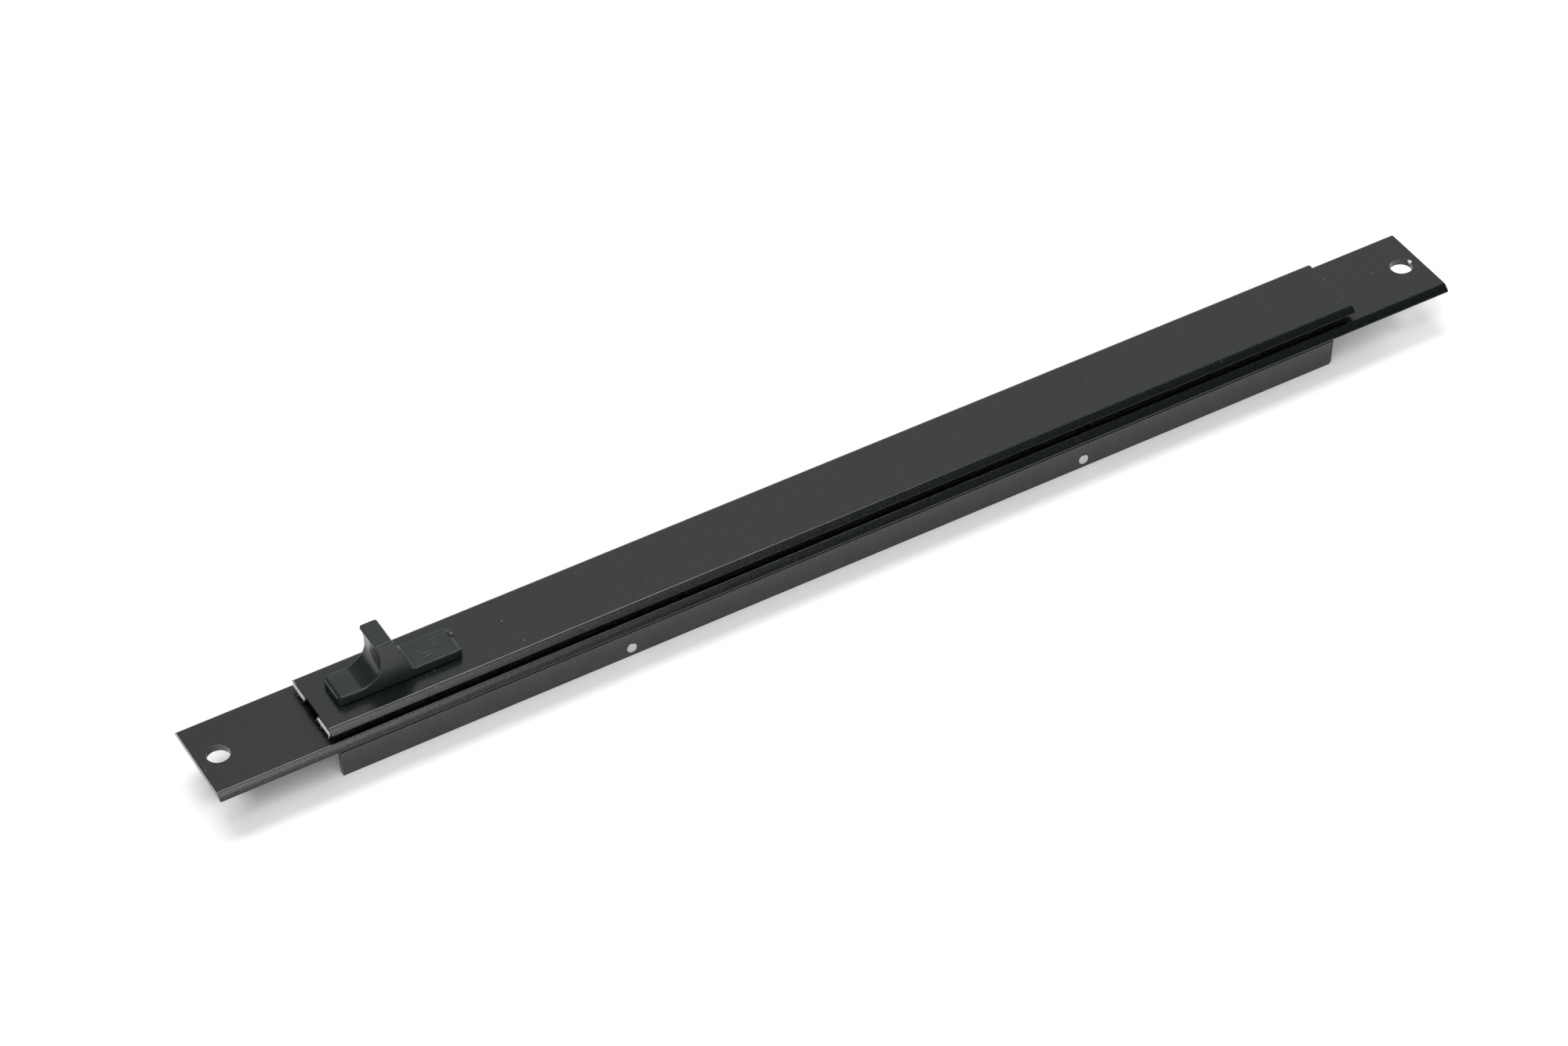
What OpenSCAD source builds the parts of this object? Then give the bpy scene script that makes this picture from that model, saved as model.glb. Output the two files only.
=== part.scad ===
// Slot ventilator with a parallel-lifting flap: a bevelled base plate with a two-legged
// spigot, two swing links on cross pins, and a flap with pile seals and a finger hook.
// Millimetres. X runs along the length, -Y is the front edge, Z points out of the frame.
// Z = 0 is the underside of the base plate, which lies on the window frame.

/* [Part] */
// Node to draw, or all

/* [Base plate] */
// Overall length of the plate
plate_l = 380; // [300:1:500]
// Overall width of the plate at its underside
plate_w = 29; // [24:0.5:40]
// Width of the flat top between the two bevels
plate_flat_w = 25.6; // [20:0.2:36]
// Thickness of the plate
plate_t = 2; // [1.5:0.1:3]
// Height of the upright land under each bevel
plate_land_h = 0.4; // [0.2:0.1:1]
// Distance from each end of the plate to its screw hole
hole_inset = 6.1; // [5:0.1:12]
// Diameter of the screw holes
hole_d = 6.4; // [3:0.1:8]

/* [Spigot] */
// Width over the two legs
spigot_w = 20; // [16:0.5:26]
// Length of the legs
spigot_l = 309.4; // [240:0.1:420]
// Depth of the legs below the plate
spigot_h = 13.2; // [10:0.1:30]
// Thickness of each leg
leg_t = 1.8; // [1.2:0.1:2.5]
// Height of the thinner top part of each leg
relief_h = 5.2; // [1:0.1:8]
// Depth of that relief in the outer face
relief_d = 0.7; // [0.3:0.1:1]
// Slope of the legs' right end, over their whole depth
end_slope = 1.1; // [0:0.1:3]
// Radius of the lower corner at the legs' right end
end_r = 1.3; // [0.5:0.1:4]

/* [Air slots] */
// Number of slots in the plate
slot_n = 3; // [1:1:6]
// Width of each slot
slot_w = 11; // [6:0.5:14]
// Length over all the slots
slots_l = 290; // [200:1:400]
// Width of the bridge between two slots
bridge_w = 6; // [3:0.5:12]

/* [Flap] */
// Length of the flap
flap_l = 316.9; // [250:0.1:450]
// Middle of the closed flap, measured from the middle of the plate
flap_x = 1.35; // [-5:0.05:5]
// Width over the flap's lips
flap_w = 24.4; // [20:0.2:34]
// Width of the flap's flat top
flap_flat_w = 20.7; // [16:0.1:30]
// Height of the closed flap's top above the plate
flap_rise = 3.75; // [3:0.05:8]
// Height of the flap's lip, top to bottom
lip_h = 1.55; // [1:0.05:4]
// Height of the upright land at the bottom of each lip
lip_land_h = 0.35; // [0.2:0.05:1]
// Thickness of the flap's web
web_t = 1.2; // [0.8:0.1:2]

/* [Seals] */
// Distance from the flap's middle to the middle of each seal
seal_y = 7.55; // [6:0.05:10]
// Width of a seal's backing tape
backing_w = 6.9; // [4:0.1:8]
// Thickness of the backing tape
backing_t = 0.5; // [0.3:0.1:1]
// Width of the pile
pile_w = 5; // [3:0.1:6]

/* [Links] */
// Distance of the left cross pin from the middle of the plate
pin_a_x = -69.7; // [-120:0.1:-20]
// Distance of the right cross pin from the middle of the plate
pin_b_x = 71.5; // [20:0.1:120]
// Depth of the cross pins below the plate
pin_depth = 10.3; // [7:0.1:20]
// Diameter of the cross pins
pin_d = 3; // [2:0.1:4]
// How far each cross pin stands out of the leg
pin_proud = 0.3; // [0:0.1:1]
// Length of a link between its two pivots
link_r = 15.5; // [12:0.1:24]
// Lean of the links when the flap is closed, in degrees
link_lean = 54.5; // [30:0.5:70]
// Diameter of the flap pins
flap_pin_d = 2.4; // [1.5:0.1:3]
// Thickness of the link's upper eye
link_eye_t = 3; // [2:0.1:4]
// Width of the link's lower barrel
link_barrel_w = 6; // [4:0.1:10]

/* [Finger hook] */
// Position of the hook's left end
hook_x = -151.6; // [-170:0.1:-100]
// Width of the hook
hook_w = 10; // [8:0.5:14]
// Height of the hook above the flap
hook_h = 15.2; // [10:0.1:22]
// Radius of the corners in plan
hook_corner_r = 1.4; // [0.5:0.1:3]

/* [Hidden] */
$fn = 48;
eps = 0.01;
run_fit = 0.05;       // radial clearance of a link on its pin
open_fit = 0.1;       // radial clearance at the pivot where the linkage is opened
tight_fit = 0.01;     // radial clearance of a pin in the part that holds it
body_gap = 0.3;       // gap between parts that move past each other
slip = 0.1;           // gap of a strip or foot in its groove
far = 1;              // overshoot of a cutter past a face
leg_out_y = spigot_w / 2;
leg_in_y = leg_out_y - leg_t;
pin_z = -pin_depth;
slot_l = (slots_l - (slot_n - 1) * bridge_w) / slot_n;
flap_top_z = plate_t + flap_rise;
web_z = flap_top_z - web_t;
lip_z = flap_top_z - lip_h;
lip_t = 0.8;
groove_h = backing_t + slip;
rail_t = 0.6;
rail_flange_t = 0.5;
rail_z = web_z - groove_h - rail_flange_t;
groove_w = backing_w + 2 * slip;
groove_in_y = seal_y - groove_w / 2;
groove_out_y = seal_y + groove_w / 2;
flange_reach = (groove_w - pile_w) / 2 - slip;
stem_in_y = groove_in_y - rail_t;
centre_reach = 0.45;
foot_w = 2 * stem_in_y - 2 * slip;
neck_w = 2 * (stem_in_y - centre_reach) - 2 * slip;
pile_z = plate_t + body_gap;
pile_root = 0.1;
backing_z = web_z - slip / 2 - backing_t;
link_dx = -link_r * sin(link_lean);
link_dz = link_r * cos(link_lean);
flap_pin_z = pin_z + link_dz;
barrel_r = 2.6;
eye_r = 2.1;
bar_w = 3.4;
ear_t = 1;
ear_gap = link_eye_t + 2 * body_gap;
ear_out_y = ear_gap / 2 + ear_t;
ear_top_l = 10;
foot_l = 16;
washer_t = 0.4;
washer_r = 2.7;
spacer_r = 2.7;
spacer_bore_r = pin_d / 2 + run_fit;
washer_y = link_barrel_w / 2 + body_gap;
pad_h = 2.95;
stem_l = 8;
stem_w = 4;
stem_x = 18;
peg_r = 1.3;
peg_inset = 4.4;
clip_l = 13;
clip_t = 0.5;

// Side outline of the hook, from its left end at X = 0 and from the flap's top at Z = 0
hook_l = 36.1;
tip_x = 12.1;
top_x = 17.3;
foot_right_x = 21.2;
scoop_x = 7.2;
scoop_mid_x = 13;
scoop_r_z = 6.4;
scoop_z = pad_h - 0.3;
label_h = 2.75;
arc_n = 10;
hook_outline = concat(
    [[0, 0], [0.35, 1.6], [0.9, 2.6], [1.7, pad_h], [scoop_x - 1, scoop_z]],
    [for (i = [0 : arc_n]) [scoop_x + (scoop_mid_x - scoop_x) * sin(90 * i / arc_n),
                            scoop_z + scoop_r_z * (1 - cos(90 * i / arc_n))]],
    [[scoop_mid_x, 11.3], [scoop_mid_x - 0.35, 13.2], [tip_x, 14.6], [tip_x + 0.3, hook_h],
     [top_x - 0.4, hook_h], [top_x, hook_h - 0.4], [foot_right_x, 4.2], [foot_right_x + 0.5, 3.3],
     [foot_right_x + 1.3, label_h], [hook_l - 1.6, label_h], [hook_l - 0.7, label_h - 0.5],
     [hook_l - 0.25, label_h - 1.3], [hook_l, 0]]);

// Extrudes a Y-Z outline along X, centred on the given X
module along_x(len, x = 0) {
    translate([x - len / 2, 0, 0])
        rotate([90, 0, 90])
            linear_extrude(height = len)
                children();
}

// Extrudes an X-Z outline along Y, between two Y values
module along_y(y0, y1) {
    translate([0, y1, 0])
        rotate([90, 0, 0])
            linear_extrude(height = y1 - y0)
                children();
}

// Rod along Y between two Y values
module rod_y(r, y0, y1) {
    translate([0, y1, 0])
        rotate([90, 0, 0])
            cylinder(r = r, h = y1 - y0);
}

// Draws its children and their mirror image across the long centre plane
module both_sides() {
    children();
    mirror([0, 1, 0])
        children();
}

module plate_section() {
    polygon([[-plate_w / 2, 0], [plate_w / 2, 0], [plate_w / 2, plate_land_h],
             [plate_flat_w / 2, plate_t], [-plate_flat_w / 2, plate_t], [-plate_w / 2, plate_land_h]]);
}

module leg_section() {
    polygon([[leg_in_y, plate_t / 2], [leg_out_y - relief_d, plate_t / 2],
             [leg_out_y - relief_d, -relief_h], [leg_out_y, -relief_h],
             [leg_out_y, -spigot_h], [leg_in_y, -spigot_h]]);
}

module leg_side_outline() {
    corner_x = spigot_l / 2 - end_slope - end_r;
    corner_z = -spigot_h + end_r;
    polygon(concat([[-spigot_l / 2, plate_t / 2], [-spigot_l / 2, -spigot_h]],
        [for (i = [0 : 6]) [corner_x + end_r * sin(90 * i / 6), corner_z - end_r * cos(90 * i / 6)]],
        [[spigot_l / 2, plate_t / 2]]));
}

module legs() {
    intersection() {
        both_sides()
            along_x(plate_l)
                leg_section();
        along_y(-plate_w, plate_w)
            leg_side_outline();
    }
}

module air_slots() {
    for (i = [0 : slot_n - 1]) {
        x0 = -slots_l / 2 + i * (slot_l + bridge_w);
        for (x = [x0 + slot_w / 2, x0 + slot_l - slot_w / 2])
            translate([x, 0, -far])
                cylinder(d = slot_w, h = plate_t + 2 * far);
        translate([x0 + slot_w / 2, -slot_w / 2, -far])
            cube([slot_l - slot_w, slot_w, plate_t + 2 * far]);
    }
}

module base_extrusion() {
    color([0.07, 0.07, 0.07])
    difference() {
        union() {
            along_x(plate_l)
                plate_section();
            legs();
        }
        air_slots();
        for (x = [-plate_l / 2 + hole_inset, plate_l / 2 - hole_inset])
            translate([x, 0, -far])
                cylinder(d = hole_d, h = plate_t + 2 * far);
        for (x = [pin_a_x, pin_b_x])
            translate([x, 0, pin_z])
                rod_y(pin_d / 2 + tight_fit, -plate_w, plate_w);
    }
}

module pivot_pin(x) {
    color([0.8, 0.8, 0.8])
    translate([x, 0, pin_z])
        rod_y(pin_d / 2, -leg_out_y - pin_proud, leg_out_y + pin_proud);
}

module spacer(x, y0, y1) {
    color([0.85, 0.85, 0.82])
    translate([x, 0, pin_z])
        difference() {
            rod_y(spacer_r, y0, y1);
            rod_y(spacer_bore_r, y0 - far, y1 + far);
        }
}

module friction_washer(x) {
    color([0.75, 0.75, 0.76])
    translate([x, 0, pin_z])
        difference() {
            rod_y(washer_r, -washer_y - washer_t, -washer_y);
            rod_y(spacer_bore_r, -washer_y - washer_t - far, -washer_y + far);
        }
}

module link(x, top_fit) {
    color([0.12, 0.12, 0.12])
    translate([x, 0, pin_z])
        rotate([0, -link_lean, 0])
            difference() {
                union() {
                    rod_y(barrel_r, -link_barrel_w / 2, link_barrel_w / 2);
                    translate([-bar_w / 2, -link_eye_t / 2, 0])
                        cube([bar_w, link_eye_t, link_r]);
                    translate([0, 0, link_r])
                        rod_y(eye_r, -link_eye_t / 2, link_eye_t / 2);
                }
                rod_y(pin_d / 2 + run_fit, -link_barrel_w, link_barrel_w);
                translate([0, 0, link_r])
                    rod_y(flap_pin_d / 2 + top_fit, -link_barrel_w, link_barrel_w);
            }
}

// Half of the flap's section on the +Y side: web, lip, outer rail and inner T-shaped rail
module flap_half_section() {
    polygon([[-eps, web_z], [-eps, flap_top_z], [flap_flat_w / 2, flap_top_z],
             [flap_w / 2, lip_z + lip_land_h], [flap_w / 2, lip_z], [flap_w / 2 - lip_t, lip_z],
             [flap_w / 2 - lip_t, rail_z], [groove_out_y - flange_reach, rail_z],
             [groove_out_y - flange_reach, rail_z + rail_flange_t],
             [groove_out_y, rail_z + rail_flange_t], [groove_out_y, web_z],
             [groove_in_y, web_z], [groove_in_y, rail_z + rail_flange_t],
             [groove_in_y + flange_reach, rail_z + rail_flange_t],
             [groove_in_y + flange_reach, rail_z], [stem_in_y - centre_reach, rail_z],
             [stem_in_y - centre_reach, rail_z + rail_flange_t],
             [stem_in_y, rail_z + rail_flange_t], [stem_in_y, web_z]]);
}

module flap_extrusion() {
    color([0.07, 0.07, 0.07])
    difference() {
        both_sides()
            along_x(flap_l, flap_x)
                flap_half_section();
        translate([hook_x + stem_x, 0, web_z + web_t / 2])
            cube([stem_l + 2 * slip, stem_w + 2 * slip, web_t + far], center = true);
        for (x = [hook_x + peg_inset, hook_x + hook_l - peg_inset])
            translate([x, 0, web_z - far])
                cylinder(r = peg_r + slip, h = web_t + 2 * far);
    }
}

module ear_outline() {
    polygon([[-ear_top_l / 2, 0], [-eye_r, flap_pin_z - rail_z], [eye_r, flap_pin_z - rail_z],
             [ear_top_l / 2, 0]]);
    translate([0, flap_pin_z - rail_z])
        circle(r = eye_r);
}

module flap_bracket(x) {
    color([0.12, 0.12, 0.12])
    translate([x + link_dx, 0, 0])
        difference() {
            union() {
                translate([-foot_l / 2, -foot_w / 2, backing_z])
                    cube([foot_l, foot_w, backing_t]);
                translate([-ear_top_l / 2, -neck_w / 2, rail_z])
                    cube([ear_top_l, neck_w, backing_z - rail_z + eps]);
                translate([0, 0, rail_z])
                    both_sides()
                        along_y(ear_gap / 2, ear_out_y)
                            ear_outline();
            }
            translate([0, 0, flap_pin_z])
                rod_y(flap_pin_d / 2 + tight_fit, -plate_w, plate_w);
        }
}

module flap_pin(x) {
    color([0.8, 0.8, 0.8])
    translate([x + link_dx, 0, flap_pin_z])
        rod_y(flap_pin_d / 2, -ear_out_y, ear_out_y);
}

module seal_backing(side) {
    color([0.85, 0.85, 0.84])
    translate([flap_x, side * seal_y, backing_z + backing_t / 2])
        cube([flap_l - 2 * slip, backing_w, backing_t], center = true);
}

module seal_pile(side) {
    pile_h = backing_z + pile_root - pile_z;
    color([0.85, 0.85, 0.84])
    translate([flap_x, side * seal_y, pile_z + pile_h / 2])
        cube([flap_l - 2 * slip, pile_w, pile_h], center = true);
}

module hook_plan() {
    r = hook_corner_r;
    for (x = [r, hook_l - r])
        for (y = [-hook_w / 2 + r, hook_w / 2 - r])
            translate([x, y])
                circle(r = r);
    translate([r, -hook_w / 2])
        square([hook_l - 2 * r, hook_w]);
    translate([0, -hook_w / 2 + r])
        square([hook_l, hook_w - 2 * r]);
}

module hook() {
    color([0.1, 0.1, 0.1])
    translate([hook_x, 0, flap_top_z + tight_fit]) {
        intersection() {
            along_y(-hook_w / 2, hook_w / 2)
                polygon(hook_outline);
            linear_extrude(height = hook_h + far)
                hook_plan();
        }
        translate([stem_x - stem_l / 2, -stem_w / 2, rail_z - flap_top_z + slip])
            cube([stem_l, stem_w, flap_top_z - rail_z]);
        for (x = [peg_inset, hook_l - peg_inset])
            translate([x, 0, -web_t])
                cylinder(r = peg_r, h = web_t + far);
    }
}

module hook_clip() {
    color([0.7, 0.7, 0.72])
    translate([hook_x + stem_x, 0, backing_z + backing_t / 2])
        difference() {
            cube([clip_l, foot_w, clip_t], center = true);
            cube([stem_l + 2 * tight_fit, stem_w + 2 * tight_fit, clip_t + far], center = true);
        }
}

base_extrusion();
pivot_pin(pin_a_x);  // pivot_pin_a
pivot_pin(pin_b_x);  // pivot_pin_b
spacer(pin_a_x, -leg_in_y + slip, -washer_y - washer_t - slip);  // spacer_a_front
spacer(pin_a_x, washer_y, leg_in_y - slip);  // spacer_a_rear
spacer(pin_b_x, -leg_in_y + slip, -washer_y - washer_t - slip);  // spacer_b_front
spacer(pin_b_x, washer_y, leg_in_y - slip);  // spacer_b_rear
friction_washer(pin_a_x);  // friction_washer_a
friction_washer(pin_b_x);  // friction_washer_b
link(pin_a_x, run_fit);  // link_a
link(pin_b_x, open_fit);  // link_b
flap_extrusion();
flap_bracket(pin_a_x);  // flap_bracket_a
flap_bracket(pin_b_x);  // flap_bracket_b
flap_pin(pin_a_x);  // flap_pin_a
flap_pin(pin_b_x);  // flap_pin_b
seal_backing(-1);  // front_seal_backing
seal_pile(-1);  // front_seal_pile
seal_backing(1);  // rear_seal_backing
seal_pile(1);  // rear_seal_pile
hook();
hook_clip();
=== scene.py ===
"""Looks of a slot trickle ventilator: a bevelled base plate with a two-legged spigot, and a
flap with pile seals and a finger hook that lifts parallel on two swing links.

Metres throughout. X runs along the length with the hook at the -X end, -Y is the front edge
and Z = 0 is the underside of the base plate. Sizes in the classes are in millimetres.
"""

import logging
import math
from dataclasses import dataclass
from enum import Enum
from typing import Callable, Sequence

import bmesh
import bpy
import numpy as np
from mathutils import Matrix


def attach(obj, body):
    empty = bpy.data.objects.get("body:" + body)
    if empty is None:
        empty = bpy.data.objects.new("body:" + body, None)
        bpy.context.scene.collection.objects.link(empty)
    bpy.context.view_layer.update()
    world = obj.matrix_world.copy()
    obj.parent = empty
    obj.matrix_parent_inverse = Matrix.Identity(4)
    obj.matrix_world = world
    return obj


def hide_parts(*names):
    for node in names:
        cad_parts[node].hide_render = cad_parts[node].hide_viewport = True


LOG = logging.getLogger("slot_vent")
MM = 0.001

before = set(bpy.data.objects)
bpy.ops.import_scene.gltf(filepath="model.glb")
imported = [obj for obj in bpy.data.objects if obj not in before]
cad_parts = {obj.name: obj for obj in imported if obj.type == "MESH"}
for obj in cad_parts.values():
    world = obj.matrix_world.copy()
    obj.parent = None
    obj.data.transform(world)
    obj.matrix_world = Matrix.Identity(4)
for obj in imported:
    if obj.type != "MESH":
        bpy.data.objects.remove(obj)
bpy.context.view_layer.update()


# ---------------------------------------------------------------------------
# Outlines and surfaces
# ---------------------------------------------------------------------------


def round_corners(points: np.ndarray, radii: np.ndarray, steps: int = 6) -> np.ndarray:
    """Rounds each corner of a closed outline with an arc.

    At a corner P with unit directions a and b to its neighbours, the half angle is
    phi = acos(a . b) / 2, the arc's ends lie r / tan(phi) from P, and its centre lies
    r / sin(phi) from P along a + b. Points on the arc are slerped between its two ends.

    Args:
        points: Corners, shape (n, 2).
        radii: Radius at each corner, shape (n,). Zero keeps the corner sharp.
        steps: Segments in each arc.

    Returns:
        The rounded outline, shape (m, 2), without repeated points.
    """
    before = np.roll(points, 1, axis=0) - points
    after = np.roll(points, -1, axis=0) - points
    a = before / np.linalg.norm(before, axis=1, keepdims=True)
    b = after / np.linalg.norm(after, axis=1, keepdims=True)
    phi = np.arccos(np.clip((a * b).sum(1), -1, 1)) / 2
    r = np.maximum(radii, 1e-9)
    bisector = a + b
    bisector /= np.maximum(np.linalg.norm(bisector, axis=1, keepdims=True), 1e-12)
    tangent = (r / np.tan(phi))[:, None]
    centre = points + bisector * (r / np.sin(phi))[:, None]
    u0 = (points + a * tangent - centre) / r[:, None]
    u1 = (points + b * tangent - centre) / r[:, None]
    omega = np.arccos(np.clip((u0 * u1).sum(1), -1, 1))[:, None]
    safe = np.maximum(np.sin(omega), 1e-9)
    s = np.linspace(0, 1, steps + 1)[None, :]
    w0 = (np.sin((1 - s) * omega) / safe)[:, :, None]
    w1 = (np.sin(s * omega) / safe)[:, :, None]
    arcs = centre[:, None] + r[:, None, None] * (w0 * u0[:, None] + w1 * u1[:, None])
    loop = arcs.reshape(-1, 2)
    keep = np.linalg.norm(loop - np.roll(loop, 1, axis=0), axis=1) > 1e-4
    return loop[keep]


def outward_normals(loop: np.ndarray) -> np.ndarray:
    """Unit outward normals at the points of a closed outline.

    The normal at a point is the sum of its two edges' normals, stretched by
    1 / cos(half the turn) so that an offset outline keeps its distance.

    Args:
        loop: Outline points, shape (n, 2).

    Returns:
        Offset directions, shape (n, 2).
    """
    edge = np.roll(loop, -1, axis=0) - loop
    edge /= np.linalg.norm(edge, axis=1, keepdims=True)
    ahead = np.roll(loop, -1, axis=0)
    area = 0.5 * np.sum(loop[:, 0] * ahead[:, 1] - loop[:, 1] * ahead[:, 0])
    side = np.stack([edge[:, 1], -edge[:, 0]], 1) * (1 if area > 0 else -1)
    both = side + np.roll(side, 1, axis=0)
    length = np.maximum(np.linalg.norm(both, axis=1, keepdims=True), 1e-9)
    stretch = np.minimum(2 / length, 1.6)
    return both / length * stretch


def rim_steps(rim: float, steps: int) -> tuple[np.ndarray, np.ndarray]:
    """Distance from a face and inset at each station of a quarter-round rim.

    At angle t from 0 to 90 degrees the distance is rim (1 - cos t) and the inset is
    rim (1 - sin t).

    Args:
        rim: Radius of the rim.
        steps: Segments in the quarter round.

    Returns:
        Distances and insets, each of shape (steps + 1,).
    """
    t = np.linspace(0, math.pi / 2, steps + 1)
    return rim * (1 - np.cos(t)), rim * (1 - np.sin(t))


def bridge(rings: np.ndarray) -> tuple[np.ndarray, list]:
    """Joins rings of equal count into a closed skin with a cap at each end.

    The face between ring i and i + 1 at point j is the quad (i, j), (i, j+1), (i+1, j+1),
    (i+1, j), with j taken round the ring.

    Args:
        rings: Points, shape (m, n, 3).

    Returns:
        Vertices, shape (m n, 3), and faces as lists of indices.
    """
    m, n, _ = rings.shape
    i, j = np.meshgrid(np.arange(m - 1), np.arange(n), indexing="ij")
    k = (j + 1) % n
    quads = np.stack([i * n + j, i * n + k, (i + 1) * n + k, (i + 1) * n + j], -1)
    caps = [np.arange(n)[::-1].tolist(), (np.arange(n) + (m - 1) * n).tolist()]
    return rings.reshape(-1, 3), quads.reshape(-1, 4).tolist() + caps


def prism_rings(loop: np.ndarray, low: float, high: float, rim: float, place: Callable,
                steps: int = 3) -> np.ndarray:
    """Rings of a prism with quarter-round rims at both ends.

    The outline is moved by -inset along its outward normals, with the inset of rim_steps.

    Args:
        loop: Outline, shape (n, 2).
        low: Start along the prism's axis.
        high: End along the prism's axis.
        rim: Radius of the rims; a negative one flares the ends outwards for a cutter.
        place: Turns (outline points, position along the axis) into points in space.
        steps: Segments in each rim.

    Returns:
        Rings, shape (2 steps + 2, n, 3).
    """
    distance, inset = rim_steps(abs(rim), steps)
    inset = inset * (1 if rim >= 0 else -1)
    normal = outward_normals(loop)
    along = np.concatenate([low + distance, (high - distance)[::-1]])
    shrink = np.concatenate([inset, inset[::-1]])
    return np.stack([place(loop - normal * d, s) for s, d in zip(along, shrink)])


def on_x(loop: np.ndarray, s: float) -> np.ndarray:
    """Places a Y-Z outline at X = s, in metres."""
    return np.stack([np.full(len(loop), s), loop[:, 0], loop[:, 1]], 1) * MM


def on_y(loop: np.ndarray, s: float) -> np.ndarray:
    """Places an X-Z outline at Y = s, in metres."""
    return np.stack([loop[:, 0], np.full(len(loop), s), loop[:, 1]], 1) * MM


def on_z(loop: np.ndarray, s: float) -> np.ndarray:
    """Places an X-Y outline at Z = s, in metres."""
    return np.stack([loop[:, 0], loop[:, 1], np.full(len(loop), s)], 1) * MM


def stadium(x0: float, x1: float, y: float, r: float, steps: int = 24) -> np.ndarray:
    """Outline of a slot with round ends: half circles of radius r about (x0, y) and (x1, y).

    Args:
        x0: Centre of the left end.
        x1: Centre of the right end.
        y: Height of the slot's middle line.
        r: Half the slot's width.
        steps: Segments in each half circle.

    Returns:
        Outline points, shape (2 steps + 2, 2), or a circle's when x0 equals x1.
    """
    t = np.linspace(-math.pi / 2, math.pi / 2, steps + 1)
    right = np.stack([x1 + r * np.cos(t), y + r * np.sin(t)], 1)
    left = np.stack([x0 - r * np.cos(t), y - r * np.sin(t)], 1)
    loop = np.concatenate([right, left])
    keep = np.linalg.norm(loop - np.roll(loop, 1, axis=0), axis=1) > 1e-6
    return loop[keep]


def flared_cutter(name: str, loop: np.ndarray, low: float, high: float,
                  rim: float) -> bpy.types.Object:
    """A cutter along Z that leaves a rounded rim at both faces of a plate.

    Its rings are the prism's, with the flared end rings repeated 1 mm beyond each face.

    Args:
        name: Name of the cutter.
        loop: Outline of the hole.
        low: Under face of the plate.
        high: Upper face of the plate.
        rim: Radius of the rims that are left.

    Returns:
        The cutter.
    """
    rings = prism_rings(loop, low, high, -rim, on_z, 4)
    over = np.array([0, 0, 1.0]) * MM
    rings = np.concatenate([rings[:1] - over, rings, rings[-1:] + over])
    return new_object(name, *bridge(rings))


def new_object(name: str, verts: np.ndarray, faces: list) -> bpy.types.Object:
    """Makes a mesh object at the origin, with its faces turned outwards.

    Args:
        name: Name of the piece.
        verts: Vertices in metres, shape (n, 3).
        faces: Faces as lists of indices.

    Returns:
        The new object.
    """
    mesh = bpy.data.meshes.new(name)
    mesh.from_pydata(verts.tolist(), [], faces)
    bm = bmesh.new()
    bm.from_mesh(mesh)
    bmesh.ops.recalc_face_normals(bm, faces=bm.faces)
    bm.to_mesh(mesh)
    bm.free()
    mesh.update()
    obj = bpy.data.objects.new(name, mesh)
    bpy.context.scene.collection.objects.link(obj)
    return obj


def prism(name: str, loop: np.ndarray, low: float, high: float, rim: float,
          place: Callable) -> bpy.types.Object:
    """A closed prism object over an outline; see prism_rings for the arguments."""
    return new_object(name, *bridge(prism_rings(loop, low, high, rim, place)))


def bake(obj: bpy.types.Object) -> bpy.types.Object:
    """Applies the object's modifiers to its mesh.

    Args:
        obj: The object, with its modifiers live.

    Returns:
        The same object, with none left.
    """
    graph = bpy.context.evaluated_depsgraph_get()
    graph.update()
    mesh = bpy.data.meshes.new_from_object(obj.evaluated_get(graph))
    obj.modifiers.clear()
    old = obj.data
    obj.data = mesh
    bpy.data.meshes.remove(old)
    mesh.name = obj.name
    return obj


def combine(obj: bpy.types.Object, others: Sequence[bpy.types.Object],
            operation: str) -> None:
    """Adds to, cuts or trims an object with others, which are then removed.

    Args:
        obj: The object that changes.
        others: Objects to combine with it.
        operation: UNION, DIFFERENCE or INTERSECT.
    """
    for other in others:
        change = obj.modifiers.new("combine", "BOOLEAN")
        change.operation = operation
        change.solver = "EXACT"
        change.object = other
        bake(obj)
        bpy.data.objects.remove(other)


def finish_shading(obj: bpy.types.Object, sharp_deg: float = 32.0) -> None:
    """Smooth shading with sharp edges over an angle, and normals weighted by face area.

    Args:
        obj: The piece.
        sharp_deg: Angle between faces over which an edge stays sharp.
    """
    obj.data.shade_smooth()
    obj.data.set_sharp_from_angle(angle=math.radians(sharp_deg))
    weighted = obj.modifiers.new("weighted", "WEIGHTED_NORMAL")
    weighted.keep_sharp = True
    bake(obj)


def soften_edges(obj: bpy.types.Object, width: float, angle_deg: float = 40.0) -> None:
    """Rounds the sharp edges that are left with a small bevel.

    Args:
        obj: The piece.
        width: Width of the bevel in millimetres.
        angle_deg: Angle between faces over which an edge is rounded.
    """
    edge = obj.modifiers.new("edges", "BEVEL")
    edge.width = width * MM
    edge.segments = 2
    edge.limit_method = "ANGLE"
    edge.angle_limit = math.radians(angle_deg)
    edge.use_clamp_overlap = True
    edge.miter_outer = "MITER_ARC"
    bake(obj)


# ---------------------------------------------------------------------------
# Finishes
# ---------------------------------------------------------------------------


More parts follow.
